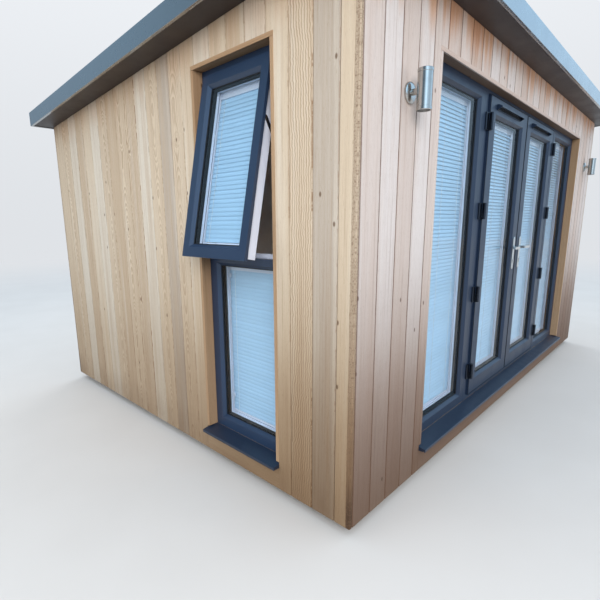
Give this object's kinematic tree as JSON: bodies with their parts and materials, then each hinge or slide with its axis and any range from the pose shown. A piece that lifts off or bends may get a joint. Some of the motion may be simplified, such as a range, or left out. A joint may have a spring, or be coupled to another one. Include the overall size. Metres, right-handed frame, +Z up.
{
  "type": "garden office pod",
  "caption": "Timber-clad garden office pod with a shallow sloping roof, glazed outward-opening double doors between side lights, and a tall top-hung window standing ajar.",
  "frame": {"origin": "ground level under the middle of the walls in plan", "axes": "+X to the right along the door wall seen from outside, +Y from the door wall to the back, +Z up"},
  "size_m": [4.59, 3.204, 2.457],
  "materials": {
    "bearer_timber": "rough sawn, tanalised",
    "floor_panel": "rough board",
    "floor_board": "satin laminate",
    "wall_board": "painted board",
    "roof_panel": "painted board",
    "cedar": "weathered, bare timber",
    "cedar_trim": "bare timber",
    "roof_skin": "matte sheet",
    "fascia_board": "smooth, half gloss",
    "soffit_board": "smooth satin",
    "frame_plastic": "fine grained, satin, dark outside and white inside",
    "hinge_metal": "satin",
    "glazing": "clear",
    "blind_slats": "satin",
    "handle_metal": "satin",
    "stainless": "brushed"
  },
  "bodies": {
    "building": {"base_bearers": "bearer_timber", "floor_panel": "floor_panel", "floor_deck": "floor_board", "front_wall": "wall_board", "left_wall": "wall_board", "right_wall": "wall_board", "rear_wall": "wall_board", "front_cladding": "cedar", "left_cladding": "cedar", "right_cladding": "cedar", "rear_cladding": "cedar", "roof_panel": "roof_panel", "roof_covering": "roof_skin", "fascia": "fascia_board", "soffit": "soffit_board", "door_reveal": "cedar_trim", "door_cill": "frame_plastic", "sidelight_frames": "frame_plastic", "sidelight_glass": "glazing", "sidelight_blinds": "blind_slats", "door_frame": "frame_plastic", "hinge_frame_side": "hinge_metal", "window_reveal": "cedar_trim", "window_cill": "frame_plastic", "window_frame": "frame_plastic", "window_sash": "frame_plastic", "window_glass": "glazing", "window_blinds": "blind_slats", "window_stays": "stainless", "wall_lights": "stainless"},
    "left_door": {"left_leaf": "frame_plastic", "left_leaf_glass": "glazing", "left_leaf_blind": "blind_slats", "left_leaf_vent": "frame_plastic", "left_leaf_hinges": "hinge_metal", "left_handle_plates": "handle_metal"},
    "left_handle": {"left_lever": "handle_metal"},
    "right_door": {"right_leaf": "frame_plastic", "right_leaf_glass": "glazing", "right_leaf_blind": "blind_slats", "right_leaf_vent": "frame_plastic", "right_leaf_hinges": "hinge_metal", "right_handle_plates": "handle_metal"},
    "right_handle": {"right_lever": "handle_metal"}
  },
  "joints": [
    {"name": "left_door_hinge", "type": "hinge", "parent": "building", "child": "left_door", "pos_m": [-0.7325, -1.4775, 1.15], "axis": [0, 0, -1], "range_deg": [0, 90]},
    {"name": "right_door_hinge", "type": "hinge", "parent": "building", "child": "right_door", "pos_m": [0.7445, -1.4775, 1.15], "axis": [0, 0, 1], "range_deg": [0, 90]},
    {"name": "left_lever_turn", "type": "hinge", "parent": "left_door", "child": "left_handle", "pos_m": [-0.062, -1.4635, 1.18], "axis": [0, -1, 0], "range_deg": [0, 40], "stiffness_Nm_per_rad": 1.5, "springref_deg": -22.92},
    {"name": "right_lever_turn", "type": "hinge", "parent": "right_door", "child": "right_handle", "pos_m": [0.074, -1.4635, 1.18], "axis": [0, 1, 0], "range_deg": [0, 40], "stiffness_Nm_per_rad": 1.5, "springref_deg": -22.92}
  ]
}
